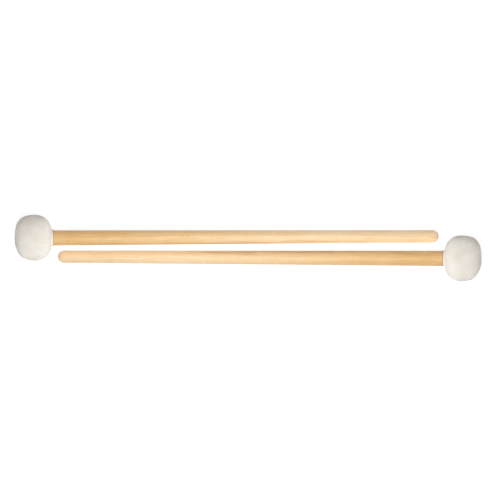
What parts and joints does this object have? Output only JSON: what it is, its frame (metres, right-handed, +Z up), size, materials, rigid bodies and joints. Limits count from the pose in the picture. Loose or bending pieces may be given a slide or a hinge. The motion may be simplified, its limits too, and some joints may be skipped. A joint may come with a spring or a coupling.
{
  "type": "pair of timpani mallets",
  "caption": "Matched pair of soft timpani mallets: round gathered-felt heads on tapered maple shafts with rounded butts, laid side by side, head to tail.",
  "frame": {"origin": "on the resting surface, under the middle of the pair", "axes": "+X along the mallets, towards the right mallet's head; +Y across, towards the left mallet; +Z up"},
  "size_m": [0.4074, 0.0582, 0.0402],
  "materials": {
    "shaft_maple": "satin clear lacquer on maple",
    "core_wood": "bare turned wood",
    "hard_felt": "dense pressed wool felt",
    "cover_felt": "soft napped wool felt",
    "draw_thread": "waxed linen thread",
    "washer_steel": "pressed, nickel plated",
    "screw_steel": "nickel plated"
  },
  "bodies": {
    "left_mallet": {"left_shaft": "shaft_maple", "left_core": "core_wood", "left_liner": "hard_felt", "left_neck_pad": "hard_felt", "left_tip_pad": "hard_felt", "left_cover": "cover_felt", "left_neck_thread": "draw_thread", "left_tip_thread": "draw_thread", "left_cup_washer": "washer_steel", "left_screw": "screw_steel"},
    "right_mallet": {"right_shaft": "shaft_maple", "right_core": "core_wood", "right_liner": "hard_felt", "right_neck_pad": "hard_felt", "right_tip_pad": "hard_felt", "right_cover": "cover_felt", "right_neck_thread": "draw_thread", "right_tip_thread": "draw_thread", "right_cup_washer": "washer_steel", "right_screw": "screw_steel"}
  },
  "joints": [
    {"name": "right_lift", "type": "slide", "parent": "left_mallet", "child": "right_mallet", "axis": [0, 0, 1], "range_m": [0, 0.08]}
  ]
}
